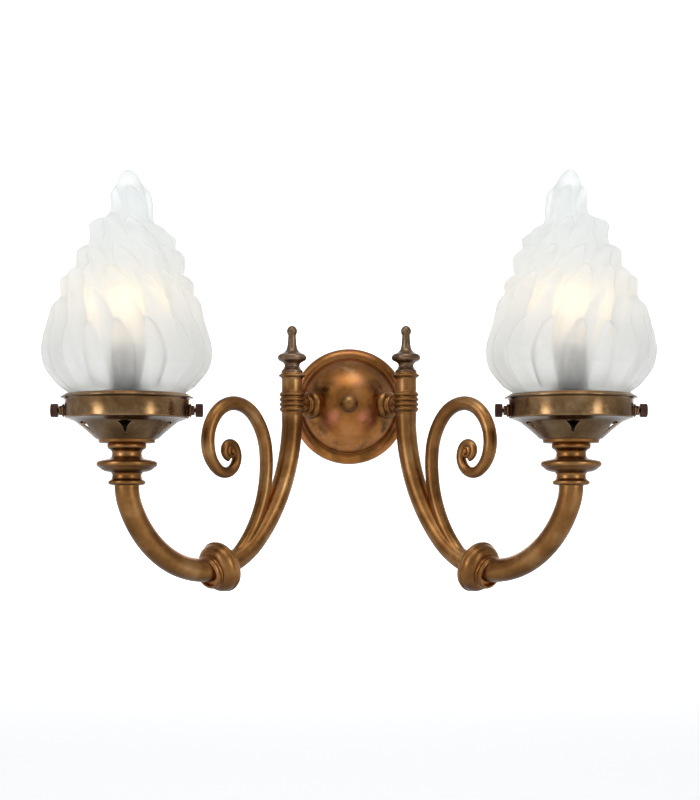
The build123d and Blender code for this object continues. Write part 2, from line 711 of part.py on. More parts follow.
insert_radius = holder_radius - holder_wall - seat_gap
insert_top = holder_top - 1.0
lamp_contact = insert_top - lamp_cap_length + 1.0
with BuildPart() as holder_insert:
    with BuildSketch(Plane(cup_foot + Vector(0, 0, sleeve_foot), z_dir=(0, 0, 1))):
        Circle(insert_radius)
    extrude(amount=insert_top - sleeve_foot)
    with BuildSketch(Plane(cup_foot + Vector(0, 0, insert_top), z_dir=(0, 0, 1))) as lamp_socket:
        Circle(lamp_cap_radius + 0.1)
    extrude(amount=lamp_contact - insert_top, mode=Mode.SUBTRACT)
write_pair("holder_insert", holder_insert.part)

# ---------------------------------------------------------------- lamp
lamp_cap_foot = lamp_contact + seat_gap
lamp_cap_top = lamp_cap_foot + lamp_cap_length
with BuildPart() as lamp_cap:
    with BuildSketch(cup_plane) as lamp_cap_half:
        with BuildLine():
            Polyline(
                (0, lamp_cap_foot),
                (2.4, lamp_cap_foot),
                (2.8, lamp_cap_foot + 1.2),
                (lamp_cap_radius - 0.8, lamp_cap_foot + 3.6),
                (lamp_cap_radius, lamp_cap_foot + 5.0),
                (lamp_cap_radius, lamp_cap_top),
                (0, lamp_cap_top),
                close=True,
            )
        make_face()
    revolve(axis=cup_axis)
write_pair("lamp_cap", lamp_cap.part)

glass_wall = 0.9
with BuildPart() as lamp_glass:
    with BuildSketch(cup_plane) as lamp_glass_half:
        with BuildLine():
            neck = Line((lamp_cap_radius, lamp_cap_top), (lamp_cap_radius + 0.3, lamp_cap_top + 3))
            join_angle = radians(-48)
            join = (bulb_radius * cos(join_angle), bulb_centre_height + bulb_radius * sin(join_angle))
            throat = banded_arc(neck @ 1, (10.7, lamp_cap_top + 9.6), join)
            globe = banded_arc(join, (bulb_radius, bulb_centre_height), (0, bulb_centre_height + bulb_radius), 8)
            crown = Line(globe @ 1, (0, bulb_centre_height + bulb_radius - glass_wall))
            inner_radius = bulb_radius - glass_wall
            inner_join = (inner_radius * cos(join_angle), bulb_centre_height + inner_radius * sin(join_angle))
            inner_globe = banded_arc(crown @ 1, (inner_radius, bulb_centre_height), inner_join, 8)
            inner_neck = (lamp_cap_radius - 0.8, lamp_cap_top + 3)
            Polyline(inner_join, (9.5, lamp_cap_top + 9.6), inner_neck, (inner_neck[0], lamp_cap_top), neck @ 0)
        make_face()
    revolve(axis=cup_axis)
write_pair("lamp_glass", lamp_glass.part)

# ---------------------------------------------------------------- flame shade
# mean radius, lobe depth and twist of each level of the flame
flame_levels = (
    (9.0, 50.4, 0.4),
    (18.0, 57.6, 1.2),
    (30.0, 61.2, 2.4),
    (64.0, 51.6, 3.2),
    (84.0, 44.2, 3.2),
    (104.0, 35.6, 3.0),
    (138.0, 15.6, 1.6),
    (151.0, 8.6, 0.8),
)
flame_twist = 0.5


def flame_ring(height, mean, depth):
    """A level's corners: four to a lobe, sharp in the valleys and full between them, turned by the flame's twist."""
    corners = []
    for number in range(4 * lobe_count):
        swell = 2 * sin(pi * (number % 4) / 4) - 1
        around = pi * number / (2 * lobe_count) + radians(flame_twist * height)
        radius = mean + depth * swell
        corners.append((radius * cos(around), radius * sin(around)))
    return corners


neck_top = 1.0
neck_inner = shade_neck_radius - shade_neck_wall
# the glass is one piece; its neck, shoulder and flame are nodes of their own so that each has a simple hollow
with BuildPart() as shade_neck:
    with BuildSketch(Plane(cup_foot + Vector(0, 0, -shade_neck_drop), z_dir=(0, 0, 1))) as neck_foot:
        Circle(shade_neck_radius)
        Circle(neck_inner, mode=Mode.SUBTRACT)
    extrude(amount=shade_neck_drop + neck_top)
write_pair("shade_neck", shade_neck.part)

flame_rings = ((neck_top, shade_neck_radius, 0.0), *flame_levels, (shade_height, 2.2, 0.0))
with BuildPart() as shade_form:
    for height, mean, depth in flame_rings:
        with BuildSketch(Plane(cup_foot + Vector(0, 0, height), x_dir=(1, 0, 0), z_dir=(0, 0, 1))) as level:
            with BuildLine():
                Polyline(*flame_ring(height, mean, depth), close=True)
            make_face()
    loft(ruled=True)
    with BuildSketch(cup_plane) as cavity_half:
        with BuildLine():
            bore = Polyline((0, neck_top), (neck_inner, neck_top), (neck_inner, neck_top + 2))
            inside = [(mean - depth - shade_wall, height) for height, mean, depth in flame_levels]
            wall = Polyline(bore @ 1, *inside, (0, flame_levels[-1][0] + shade_wall))
            Line(wall @ 1, bore @ 0)
        make_face()
    revolve(axis=cup_axis, mode=Mode.SUBTRACT)

widest_level = max(flame_levels, key=lambda level: level[1])[0]
widest_plane = Plane(cup_foot + Vector(0, 0, widest_level), z_dir=(0, 0, 1))
with BuildPart() as shade_shoulder:
    add(shade_form.part)
    split(bisect_by=widest_plane, keep=Keep.BOTTOM)
write_pair("shade_shoulder", shade_shoulder.part)

with BuildPart() as glass_shade:
    add(shade_form.part)
    split(bisect_by=widest_plane, keep=Keep.TOP)
write_pair("glass_shade", glass_shade.part)
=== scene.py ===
import json
from math import asin, atan2, ceil, cos, hypot, pi, radians, sin, sqrt

import bmesh
import bpy
import numpy as np
from mathutils import Matrix, Vector


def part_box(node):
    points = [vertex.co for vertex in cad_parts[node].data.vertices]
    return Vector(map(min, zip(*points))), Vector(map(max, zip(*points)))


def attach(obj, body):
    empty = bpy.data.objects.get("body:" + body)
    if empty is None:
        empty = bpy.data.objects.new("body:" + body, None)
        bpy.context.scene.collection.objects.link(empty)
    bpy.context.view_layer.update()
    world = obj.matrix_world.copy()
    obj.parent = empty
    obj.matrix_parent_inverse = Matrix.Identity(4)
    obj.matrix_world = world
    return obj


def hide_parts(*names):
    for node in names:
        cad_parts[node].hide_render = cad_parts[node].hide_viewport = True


# Double arm wall sconce. Lengths are millimetres in the frame's axes, unless a comment says metres: X to the
# viewer's right, Z up, and the lights stand out towards -Y. Every arm piece is made for the right side and
# mirrored to the left.

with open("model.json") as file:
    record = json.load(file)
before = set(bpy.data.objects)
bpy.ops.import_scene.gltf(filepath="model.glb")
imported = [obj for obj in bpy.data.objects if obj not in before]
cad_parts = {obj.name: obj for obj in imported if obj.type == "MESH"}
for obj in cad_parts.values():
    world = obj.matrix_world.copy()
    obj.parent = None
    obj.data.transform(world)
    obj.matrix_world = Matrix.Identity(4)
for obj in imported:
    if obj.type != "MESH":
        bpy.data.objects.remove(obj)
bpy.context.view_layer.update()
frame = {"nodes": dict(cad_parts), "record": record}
MM = 0.001
HUB = 0.01  # the radius at which an outline meets its own axis
EDGE_ANGLE = 34  # degrees that faces turn by over a sharp edge
SIDES = {"right": 1, "left": -1}
ROOT = "fixture"

# ---------------------------------------------------------------- places read from the frame
barrel_low, barrel_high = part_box("right_barrel")
barrel_x = (barrel_low.x + barrel_high.x) / 2 / MM
barrel_y = (barrel_low.y + barrel_high.y) / 2 / MM
holder_low, holder_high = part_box("right_holder_sleeve")
cup_x = (holder_low.x + holder_high.x) / 2 / MM
cup_y = (holder_low.y + holder_high.y) / 2 / MM
dome_front = -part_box("wall_plate")[0].y / MM
arm_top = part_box("right_stem")[0].z / MM
seat_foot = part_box("right_gallery_seat")[0].z / MM

# ---------------------------------------------------------------- driving dimensions
plate_radius = 46.1
crease_radius = 37.6
dome_radius = 40.5
dome_back = dome_radius - dome_front
arm_turn = radians(45)
outward = Vector((cos(arm_turn), -sin(arm_turn), 0))
to_viewer = Vector((-sin(arm_turn), -cos(arm_turn), 0))
up = Vector((0, 0, 1))
barrel_foot = Vector((barrel_x, barrel_y, 0))
cup_foot = Vector((cup_x, cup_y, 0))
arm_start = -9.6
# bends are pairs of a radius and the degrees it turns through
inner_bends = ((139.6, 43.4), (72.3, 35.3))
outer_bends = ((72.3, 41.3), (79.0, 38.0), (37.1, 22.0))
scroll_crest = (59.9, -2.0)
tail_bends = ((27.4, 47.0), (46.0, 37.1), (96.0, 58.0))
curl_bends = ((24.5, 43.0), (31.5, 58.6), (23.8, 43.1), (11.8, 100.0), (12.8, 60.0), (6.6, 100.0),
              (5.8, 118.0))
curl_radii = (5.5, 5.35, 5.2, 4.5, 3.9, 3.5, 3.1, 2.6)
knuckle_tilt = radians(20)
tulip_count = 6
tulip_turn = -94
screw_drop = -11.7
screw_places = {"outer": 0.0, "inner": 180.0, "rear": 90.0}


# ---------------------------------------------------------------- outlines and paths
class Outline:
    """A turned piece's half section: pairs of radius and height, with three-point arcs where it is round."""

    def __init__(self, *points):
        self.points = list(points)

    def to(self, *points):
        self.points.extend(points)
        return self

    def arc(self, via, end, steps=8):
        (ax, ay), (bx, by), (cx, cy) = self.points[-1], via, end
        d = 2 * (ax * (by - cy) + bx * (cy - ay) + cx * (ay - by))
        a2, b2, c2 = ax * ax + ay * ay, bx * bx + by * by, cx * cx + cy * cy
        ox = (a2 * (by - cy) + b2 * (cy - ay) + c2 * (ay - by)) / d
        oy = (a2 * (cx - bx) + b2 * (ax - cx) + c2 * (bx - ax)) / d
        radius = hypot(ax - ox, ay - oy)
        first = atan2(ay - oy, ax - ox)
        middle = (atan2(by - oy, bx - ox) - first) % (2 * pi)
        sweep = (atan2(cy - oy, cx - ox) - first) % (2 * pi)
        if middle > sweep:
            sweep -= 2 * pi
        for step in range(1, steps + 1):
            turn = first + sweep * step / steps
            self.points.append((ox + radius * cos(turn), oy + radius * sin(turn)))
        return self


def bend_points(start, direction, bends, turn, step=2.5):
    """Points along tangent arcs in the arm's plane (outward, up), the numbers of the points where bends end,
    and the last heading. turn is 1 to the left and -1 to the right, and step is in degrees."""
    points, marks = [Vector(start)], [0]
    heading = atan2(direction[1], direction[0])
    for radius, angle in bends:
        centre = points[-1] + Vector((-sin(heading), cos(heading))) * radius * turn
        count = max(2, ceil(angle / step))
        first = points[-1] - centre
        for number in range(1, count + 1):
            points.append(centre + Matrix.Rotation(turn * radians(angle * number / count), 2) @ first)
        heading += turn * radians(angle)
        marks.append(len(points) - 1)
    return points, marks, heading


def in_arm(point, forward=0.0):
    """A point of the arm's plane, moved towards the viewer's side of it."""
    return barrel_foot + outward * point[0] + up * point[1] + to_viewer * forward


# ---------------------------------------------------------------- mesh makers
def mesh_object(name, verts, faces, sharp=EDGE_ANGLE):
    """A smooth-shaded mesh in metres whose edges are sharp where its faces turn by more than an angle."""
    mesh = bpy.data.meshes.new(name)
    mesh.from_pydata([Vector(v) * MM for v in verts], [], faces)
    bm = bmesh.new()
    bm.from_mesh(mesh)
    bmesh.ops.remove_doubles(bm, verts=bm.verts, dist=1e-7)
    bmesh.ops.recalc_face_normals(bm, faces=bm.faces)
    for face in bm.faces:
        face.smooth = True
    for edge in bm.edges:
        edge.smooth = len(edge.link_faces) == 2 and edge.calc_face_angle(0) < radians(sharp)
    bm.to_mesh(mesh)
    bm.free()
    made = bpy.data.objects.new(name, mesh)
    bpy.context.scene.collection.objects.link(made)
    return made


def ring_faces(rings, around, close_ends=True):
    """Quads between rings of points, and one flat face on each end."""
    faces = []
    for ring in range(rings - 1):
        for number in range(around):
            after = (number + 1) % around
            a, b = ring * around, (ring + 1) * around
            faces.append((a + number, a + after, b + after, b + number))
    if close_ends:
        faces.append(tuple(range(around)))
        faces.append(tuple((rings - 1) * around + number for number in range(around)))
    return faces


def turned(outline, origin, axis, around=96, ripple=None):
    """Vertices and faces of an outline turned about an axis. ripple gives what is added to a radius."""
    axis = Vector(axis).normalized()
    side = axis.orthogonal().normalized()
    other = axis.cross(side)
    points = outline.points if isinstance(outline, Outline) else outline
    verts = []
    for radius, height in points:
        for number in range(around):
            turn = 2 * pi * number / around
            r = radius + ripple(radius, height, turn) if ripple else radius
            verts.append(Vector(origin) + axis * height + (side * cos(turn) + other * sin(turn)) * r)
    closed = hypot(points[0][0] - points[-1][0], points[0][1] - points[-1][1]) < 1e-6
    return verts, ring_faces(len(points), around, close_ends=not closed)


def swept(centres, radii, around=40, normal=to_viewer):
    """A round bar along points whose bends lie in a plane with that normal."""
    verts = []
    last = len(centres) - 1
    for number, (centre, radius) in enumerate(zip(centres, radii)):
        along = (centres[min(number + 1, last)] - centres[max(number - 1, 0)]).normalized()
        across = along.cross(normal).normalized()
        lift = across.cross(along).normalized()
        for step in range(around):
            turn = 2 * pi * step / around
            verts.append(centre + (across * cos(turn) + lift * sin(turn)) * radius)
    return verts, ring_faces(len(centres), around)


def mirrored(verts, faces, sign):
    """The shape as it is for sign 1, and its mirror image in the middle plane for sign -1."""
    return [Vector((v[0] * sign, v[1], v[2])) for v in verts], [f[::sign] for f in faces]


def place(piece, node, body, slot):
    """Puts a piece on its body in place of its CAD node, with its slot's finish."""
    piece.data.materials.clear()
    piece.data.materials.append(finishes[slot])
    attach(piece, body)
    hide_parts(node)
    return piece


def pair(node, shape, slot, body=ROOT, sharp=EDGE_ANGLE, cut=None, also=()):
    """The right and the left piece that stand for a node's two mirror images, and for the nodes in also."""
    for side, sign in SIDES.items():
        verts, faces = mirrored(*shape, sign)
        piece = mesh_object(f"{side}_{node}_detail", verts, faces, sharp)
        if cut:
            cut(piece, sign)
        rides = body if body == ROOT else f"{side}_{body}"
        place(piece, f"{side}_{node}", rides, slot)
        for other in also:
            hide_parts(f"{side}_{other}")


def joined(*shapes):
    """Several shapes as one."""
    verts, faces = [], []
    for more_verts, more_faces in shapes:
        first = len(verts)
        verts.extend(more_verts)
        faces.extend(tuple(first + index for index in face) for face in more_faces)
    return verts, faces


# ---------------------------------------------------------------- finishes
def new_finish(name):
    """A material, its node tree and its Principled node."""
    finish = bpy.data.materials.new(name)
    finish.use_nodes = True
    nodes = finish.node_tree.nodes
    return finish, finish.node_tree, nodes["Principled BSDF"]


def node(tree, kind, **inputs):
    """A node with numbers on its inputs, or else on its own properties."""
    made = tree.nodes.new(kind)
    for key, value in inputs.items():
        if key in made.inputs:
            made.inputs[key].default_value = value
        else:
            setattr(made, key, value)
    return made


def noise(tree, scale, detail=4.0, roughness=0.55):
    """Noise over the object's own metres."""
    made = node(tree, "ShaderNodeTexNoise", Scale=scale, Detail=detail, Roughness=roughness)
    tree.links.new(tree.nodes.new("ShaderNodeTexCoord").outputs["Object"], made.inputs["Vector"])
    return made.outputs["Fac"]


def axes_of(tree, kind, output):
    """The X, Y and Z sockets of what a node of that kind puts out."""
    made = tree.nodes.new("ShaderNodeSeparateXYZ")
    tree.links.new(tree.nodes.new(kind).outputs[output], made.inputs[0])
    return made.outputs


def ranged(tree, value, start, end, low=0.0, high=1.0, **settings):
    """A value carried from start and end to low and high, and kept between them."""
    made = node(tree, "ShaderNodeMapRange", **settings)
    tree.links.new(value, made.inputs["Value"])
    for socket, number in (("From Min", start), ("From Max", end), ("To Min", low), ("To Max", high)):
        made.inputs[socket].default_value = number
    return made.outputs["Result"]


def ramp(tree, value, *stops):
    """A colour ramp with stops as pairs of position and colour."""
    made = tree.nodes.new("ShaderNodeValToRGB")
    while len(made.color_ramp.elements) < len(stops):
        made.color_ramp.elements.new(0.5)
    for element, (position, colour) in zip(made.color_ramp.elements, stops):
        element.position = position
        element.color = (*colour, 1)
    tree.links.new(value, made.inputs["Fac"])
    return made.outputs["Color"]


def grey(value):
    return (value, value, value)


def mix(tree, share, first, second, blend="MIX"):
    """Mixes two colours, each a socket or a colour, by a share that is a socket or a number."""
    made = tree.nodes.new("ShaderNodeMix")
    made.data_type = "RGBA"
    made.blend_type = blend
    for socket, value in (("Factor", share), ("A", first), ("B", second)):
        target = next(s for s in made.inputs if s.name == socket and s.enabled)
        if isinstance(value, bpy.types.NodeSocket):
            tree.links.new(value, target)
        else:
            target.default_value = value if isinstance(value, float) else (*value, 1)
    return next(s for s in made.outputs if s.enabled)


def bump(tree, shader, height, strength, distance):
    made = node(tree, "ShaderNodeBump", Strength=strength, Distance=distance)
    tree.links.new(height, made.inputs["Height"])
    tree.links.new(made.outputs["Normal"], shader.inputs["Normal"])


def patches(tree, colour, spots):
    """Tints a colour round places of the wall plate, the same on its left and its right."""
    around = axes_of(tree, "ShaderNodeTexCoord", "Object")
    aside = node(tree, "ShaderNodeMath", operation="ABSOLUTE")
    tree.links.new(around["X"], aside.inputs[0])
    flat = tree.nodes.new("ShaderNodeCombineXYZ")
    tree.links.new(aside.outputs[0], flat.inputs["X"])
    tree.links.new(around["Z"], flat.inputs["Z"])
    cloud = noise(tree, 120)
    for x, z, radius, tint, share in spots:
        far = node(tree, "ShaderNodeVectorMath", operation="DISTANCE")
        tree.links.new(flat.outputs[0], far.inputs[0])
        far.inputs[1].default_value = (x * MM, 0, z * MM)
        near = ranged(tree, far.outputs["Value"], radius * MM, 0.2 * radius * MM, high=share,
                      interpolation_type="SMOOTHSTEP")
        clouded = ramp(tree, cloud, (0.42, grey(0.1)), (0.6, grey(1.0)))
        colour = mix(tree, mix(tree, 1.0, near, clouded, "MULTIPLY"), colour, tint)
    return colour


def aged_brass(name, dark, mid, bright, painted_corner_colour, rough=(0.3, 0.43), red=0.0, seed=0.0, underside_shade=0.45,
               spots=()):
    """Brass under a brown patina: mottled, with painted shade round its corners and painted bounced light in
    them, rubbed lighter and given a painted highlight on its edges, and painted shade where it faces down.
    Colours are linear."""
    finish, tree, shader = new_finish(name)
    shader.inputs["Metallic"].default_value = 1.0
    broad = noise(tree, 38 + seed, 3.0)
    fine = noise(tree, 260 + seed, 6.0, 0.65)
    patina = ramp(tree, broad, (0.32, dark), (0.52, mid), (0.72, bright))
    speckle = ramp(tree, fine, (0.35, grey(0.8)), (0.65, grey(1.0)))
    colour = mix(tree, 0.7, patina, speckle, "MULTIPLY")
    if red:
        blush = ramp(tree, noise(tree, 55, 2.0), (0.5, grey(0.0)), (0.68, grey(red)))
        colour = mix(tree, blush, colour, (0.42, 0.17, 0.12))
    if spots:
        colour = patches(tree, colour, spots)
    # painted shade round corners (rim) and painted bounced light in them, both read from ambient occlusion
    hollow = node(tree, "ShaderNodeAmbientOcclusion", Distance=0.006, samples=6)
    rim = ramp(tree, hollow.outputs["AO"], (0.5, grey(0.6)), (0.92, grey(0.0)))
    colour = mix(tree, rim, colour, dark)
    painted_corner_share = ramp(tree, hollow.outputs["AO"], (0.3, grey(0.9)), (0.66, grey(0.0)))
    colour = mix(tree, painted_corner_share, colour, painted_corner_colour)
    # painted highlight on edges and crests, over the lightening of wear
    edges = ramp(tree, tree.nodes.new("ShaderNodeNewGeometry").outputs["Pointiness"],
                 (0.52, grey(0.0)), (0.6, grey(0.55)))
    colour = mix(tree, edges, colour, bright)
    # painted shade where a face turns down
    faces_up = axes_of(tree, "ShaderNodeNewGeometry", "Normal")["Z"]
    colour = mix(tree, 1.0, colour, ranged(tree, faces_up, -0.9, 0.1, underside_shade, 1.0), "MULTIPLY")
    tree.links.new(colour, shader.inputs["Base Color"])
    gloss = ramp(tree, fine, (0.3, grey(rough[0])), (0.75, grey(rough[1])))
    tree.links.new(gloss, shader.inputs["Roughness"])
    bump(tree, shader, fine, 0.12, 0.0004)
    return finish


def plain_surface(name, colour, rough, metallic=1.0):
    """One colour with a fine grain: bare metal, or plastic with metallic at 0."""
    finish, tree, shader = new_finish(name)
    shader.inputs["Metallic"].default_value = metallic
    fine = noise(tree, 320, 5.0)
    shade = tuple(0.75 * channel for channel in colour)
    tree.links.new(ramp(tree, fine, (0.3, shade), (0.7, colour)), shader.inputs["Base Color"])
    gloss = ramp(tree, fine, (0.3, grey(rough)), (0.8, grey(rough + 0.15)))
    tree.links.new(gloss, shader.inputs["Roughness"])
    bump(tree, shader, fine, 0.1, 0.0003)
    return finish


def frosted_glass():
    """Acid-frosted clear glass: light passes scattered, and a little of it comes back from the surface. Its
    valleys carry painted shade, and it gives a faint painted glow of its own.
    """
    finish, tree, shader = new_finish("frosted_glass")
    shader.inputs["Roughness"].default_value = 0.5
    shader.inputs["IOR"].default_value = 1.45
    shader.inputs["Transmission Weight"].default_value = 1.0
    grain = noise(tree, 1400, 3.0)
    bump(tree, shader, grain, 0.08, 0.0002)
    form = tree.nodes.new("ShaderNodeNewGeometry").outputs["Pointiness"]
    # painted shade: the glass is darker in its valleys and lighter on its crests
    painted_valley_shade = ramp(tree, form, (0.42, (0.85, 0.865, 0.86)), (0.497, (0.95, 0.962, 0.957)))
    scatter = node(tree, "ShaderNodeBsdfTranslucent")
    body = node(tree, "ShaderNodeBsdfDiffuse")
    for lit in (scatter, body):
        tree.links.new(painted_valley_shade, lit.inputs["Color"])
    tree.links.new(painted_valley_shade, shader.inputs["Base Color"])
    both = node(tree, "ShaderNodeMixShader", Fac=0.45)
    tree.links.new(scatter.outputs[0], both.inputs[1])
    tree.links.new(body.outputs[0], both.inputs[2])
    # the frosting is thinner round the neck, where the lampholder shows through; heights in metres
    height = axes_of(tree, "ShaderNodeTexCoord", "Object")["Z"]
    frosting = ranged(tree, height, 0.004, 0.054, 0.05, 0.5)
    whole = tree.nodes.new("ShaderNodeMixShader")
    tree.links.new(frosting, whole.inputs["Fac"])
    tree.links.new(shader.outputs[0], whole.inputs[1])
    tree.links.new(both.outputs[0], whole.inputs[2])
    # painted light: the glass glows faintly of itself, more where it is frosted more, standing for the lamp's
    # light in it
    glow = node(tree, "ShaderNodeEmission", Color=(0.97, 1.0, 0.99, 1), Strength=0.07)
    lit_share = node(tree, "ShaderNodeMixShader")
    tree.links.new(frosting, lit_share.inputs["Fac"])
    tree.links.new(glow.outputs[0], lit_share.inputs[2])
    total = tree.nodes.new("ShaderNodeAddShader")
    tree.links.new(whole.outputs[0], total.inputs[0])
    tree.links.new(lit_share.outputs[0], total.inputs[1])
    tree.links.new(total.outputs[0], tree.nodes["Material Output"].inputs["Surface"])
    return finish


def glowing_lamp():
    """The lamp's glass, lit most at the height of its filament; heights in metres."""
    finish, tree, shader = new_finish("lamp_glass")
    shader.inputs["Base Color"].default_value = (1.0, 0.93, 0.8, 1)
    shader.inputs["Roughness"].default_value = 0.35
    shader.inputs["Emission Color"].default_value = (1.0, 0.62, 0.24, 1)
    share = ranged(tree, axes_of(tree, "ShaderNodeTexCoord", "Object")["Z"], 0.036, 0.094)
    lit = ramp(tree, share, (0.22, grey(0.08)), (0.42, grey(1.0)), (0.54, grey(1.0)), (0.76, grey(0.08)))
    strength = node(tree, "ShaderNodeMath", operation="MULTIPLY")
    tree.links.new(lit, strength.inputs[0])
    strength.inputs[1].default_value = 2.3
    tree.links.new(strength.outputs[0], shader.inputs["Emission Strength"])
    return finish


# Olive painted shade, with the stubs' painted reflection, by the stubs and at the foot of the dome, pink and
# rosy tints by the knob and the rim, and a tan painted highlight at the top. Each has how far aside and up it
# lies, its radius, its colour and its share.
olive = (0.08, 0.045, 0.01)
blush_pink = (0.56, 0.2, 0.12)
rosy = (0.66, 0.3, 0.17)
tan = (0.5, 0.29, 0.13)
plate_spots = (
    (22.0, 10.0, 15.0, olive, 0.95),
    (26.0, -17.0, 16.0, olive, 0.95),
    (13.0, -35.0, 14.0, olive, 0.7),
    (15.0, -11.0, 12.0, blush_pink, 0.75),
    (42.0, 12.0, 16.0, rosy, 0.9),
    (42.0, -13.0, 14.0, rosy, 0.8),
    (9.0, 18.0, 7.0, blush_pink, 0.25),
    (0.0, 30.0, 13.0, tan, 0.7),
)

# four colours each: the patina's dark, middle and bright, and the corners' painted bounced light
brasses = {
    "aged_brass": ((0.2, 0.088, 0.026), (0.335, 0.155, 0.049), (0.52, 0.29, 0.12), (0.72, 0.26, 0.04)),
    "plate_brass": ((0.25, 0.1, 0.024), (0.4, 0.16, 0.041), (0.52, 0.25, 0.08), (0.4, 0.15, 0.04)),
    "gallery_brass": ((0.14, 0.075, 0.028), (0.31, 0.18, 0.08), (0.5, 0.33, 0.18), (0.3, 0.13, 0.04)),
    "dark_brass": ((0.085, 0.05, 0.028), (0.19, 0.115, 0.066), (0.34, 0.23, 0.15), (0.4, 0.16, 0.04)),
    "screw_bronze": ((0.07, 0.035, 0.025), (0.12, 0.06, 0.045), (0.17, 0.09, 0.07), (0.08, 0.04, 0.03)),
}
brass_settings = {
    "aged_brass": dict(underside_shade=0.26),
    "plate_brass": dict(red=0.35, seed=9.0, underside_shade=0.85, spots=plate_spots),
    "gallery_brass": dict(rough=(0.14, 0.3), underside_shade=0.22),
    "dark_brass": dict(underside_shade=0.6),
    "screw_bronze": dict(rough=(0.45, 0.6)),
}
finishes = {name: aged_brass(name, *colours, **brass_settings[name]) for name, colours in brasses.items()}
finishes |= {
    "plain_brass": plain_surface("plain_brass", (0.55, 0.38, 0.16), 0.3),
    "zinc_steel": plain_surface("zinc_steel", (0.6, 0.61, 0.63), 0.35),
    "terminal_plastic": plain_surface("terminal_plastic", (0.8, 0.79, 0.74), 0.5, 0.0),
    "holder_black": plain_surface("holder_black", (0.012, 0.011, 0.011), 0.5, 0.0),
    "lamp_cap_metal": plain_surface("lamp_cap_metal", (0.6, 0.6, 0.58), 0.3),
    "lamp_glass": glowing_lamp(),
    "frosted_glass": frosted_glass(),
}
slot_of = {part["node"]: part["material_slot"] for part in frame["record"]["subparts"]}
for name, cad_node in frame["nodes"].items():
    for place_slot in cad_node.material_slots:
        place_slot.material = finishes[slot_of[name]]


# ---------------------------------------------------------------- wall plate and knob
def plate_shape():
    """The rolled flange and dome, with its hollow back one wall inside."""
    wall = 1.2
    crease_depth = sqrt(dome_radius**2 - crease_radius**2) - dome_back
    steps = 48
    outside = Outline((plate_radius - wall, 0), (plate_radius - 0.2, 0), (plate_radius, 0.3))
    outside.to((plate_radius, 1.2))
    outside.arc((44.6, 4.5), (crease_radius + 0.7, crease_depth + 0.25), 14)
    outside.to((crease_radius + 0.25, crease_depth - 0.3), (crease_radius - 0.25, crease_depth - 0.15))
    lean = asin((crease_radius - 0.6) / dome_radius)
    for step in range(steps + 1):
        turn = lean * (1 - step / steps)
        outside.to((max(dome_radius * sin(turn), HUB), dome_radius * cos(turn) - dome_back))
    inner = dome_radius - wall
    for step in range(steps + 1):
        turn = asin((crease_radius - wall) / inner) * step / steps
        outside.to((max(inner * sin(turn), HUB), inner * cos(turn) - dome_back))
    outside.to((43.2, 4.0), (plate_radius - wall, 1.2), (plate_radius - wall, 0))
    return turned(outside, (0, 0, 0), (0, -1, 0), around=160)


place(mesh_object("wall_plate_detail", *plate_shape()), "wall_plate", ROOT, "plate_brass")
knob = Outline((HUB, dome_front), (6.0, dome_front), (6.1, dome_front + 1.0)).arc(
    (5.6, dome_front + 2.0), (5.2, dome_front + 2.3), 5)
knob.arc((6.95, dome_front + 6.8), (HUB, 45.7), 22)
place(mesh_object("centre_knob_detail", *turned(knob, (0, 0, 0), (0, -1, 0), 72)),
      "centre_knob", ROOT, "aged_brass")

# ---------------------------------------------------------------- stub, barrel, collar and finial
centre_u = -(barrel_foot - Vector((0, dome_back, 0))).length
dome_u = centre_u + dome_radius
stub = Outline((HUB, dome_u - 2), (9.6, dome_u - 2), (10.2, dome_u - 0.2)).arc(
    (11.0, dome_u + 2.7), (8.4, dome_u + 6.0), 10)
stub.arc((6.9, dome_u + 6.7), (6.6, dome_u + 7.6), 5).to((7.4, dome_u + 7.8)).arc(
    (7.8, dome_u + 8.8), (7.4, dome_u + 9.8), 6)
stub.to((6.5, dome_u + 10.0), (6.5, -3), (HUB, -3))
pair("stub", turned(stub, barrel_foot, outward, 72), "aged_brass")

barrel = Outline((HUB, arm_start), (8.15, arm_start), (8.2, -6.6)).arc((8.5, -6.2), (8.85, -5.9), 4)
reed_count, first_reed, reed_pitch = 4, -4.09, 3.83
for ring in range(reed_count):
    height = first_reed + reed_pitch * ring
    barrel.to((8.75, height - 1.55), (9.15, height - 1.25)).arc((9.95, height), (9.15, height + 1.25), 8)
    barrel.to((8.75, height + 1.55))
barrel.to((8.7, 9.3)).arc((8.35, 9.6), (8.1, 10.1), 4).to((8.05, 19.1), (HUB, 19.1))
pair("barrel", turned(barrel, barrel_foot, up, 96), "aged_brass")

collar = Outline((HUB, 19.1), (8.1, 19.1)).arc((8.7, 20.6), (9.7, 21.2), 6)
collar.arc((10.5, 22.3), (9.6, 23.2), 8).arc((8.8, 23.5), (8.6, 24.5), 5).to((HUB, 24.5))
pair("collar", turned(collar, barrel_foot, up, 96), "aged_brass")

finial = Outline((HUB, 24.5), (8.2, 24.5)).arc((8.35, 25.4), (8.0, 26.3), 6)
finial.arc((7.2, 27.1), (6.5, 28.2), 5)
finial.arc((5.9, 30.1), (6.7, 31.9), 8).arc((7.6, 32.6), (8.8, 33.2), 4).to((9.1, 33.5)).arc(
    (11.3, 36.2), (9.2, 39.0), 14)
finial.arc((6.4, 40.4), (4.5, 42.6), 8).arc((3.7, 45.5), (3.35, 49.0), 6).to((3.05, 53.2)).arc(
    (3.15, 54.0), (3.5, 54.6), 4)
finial.arc((4.05, 57.2), (HUB, 61.25), 16)
pair("finial", turned(finial, barrel_foot, up, 72), "dark_brass")

# ---------------------------------------------------------------- arms
inner_points, _, inner_heading = bend_points((0, arm_start), (0, -1), inner_bends, 1, 1.5)
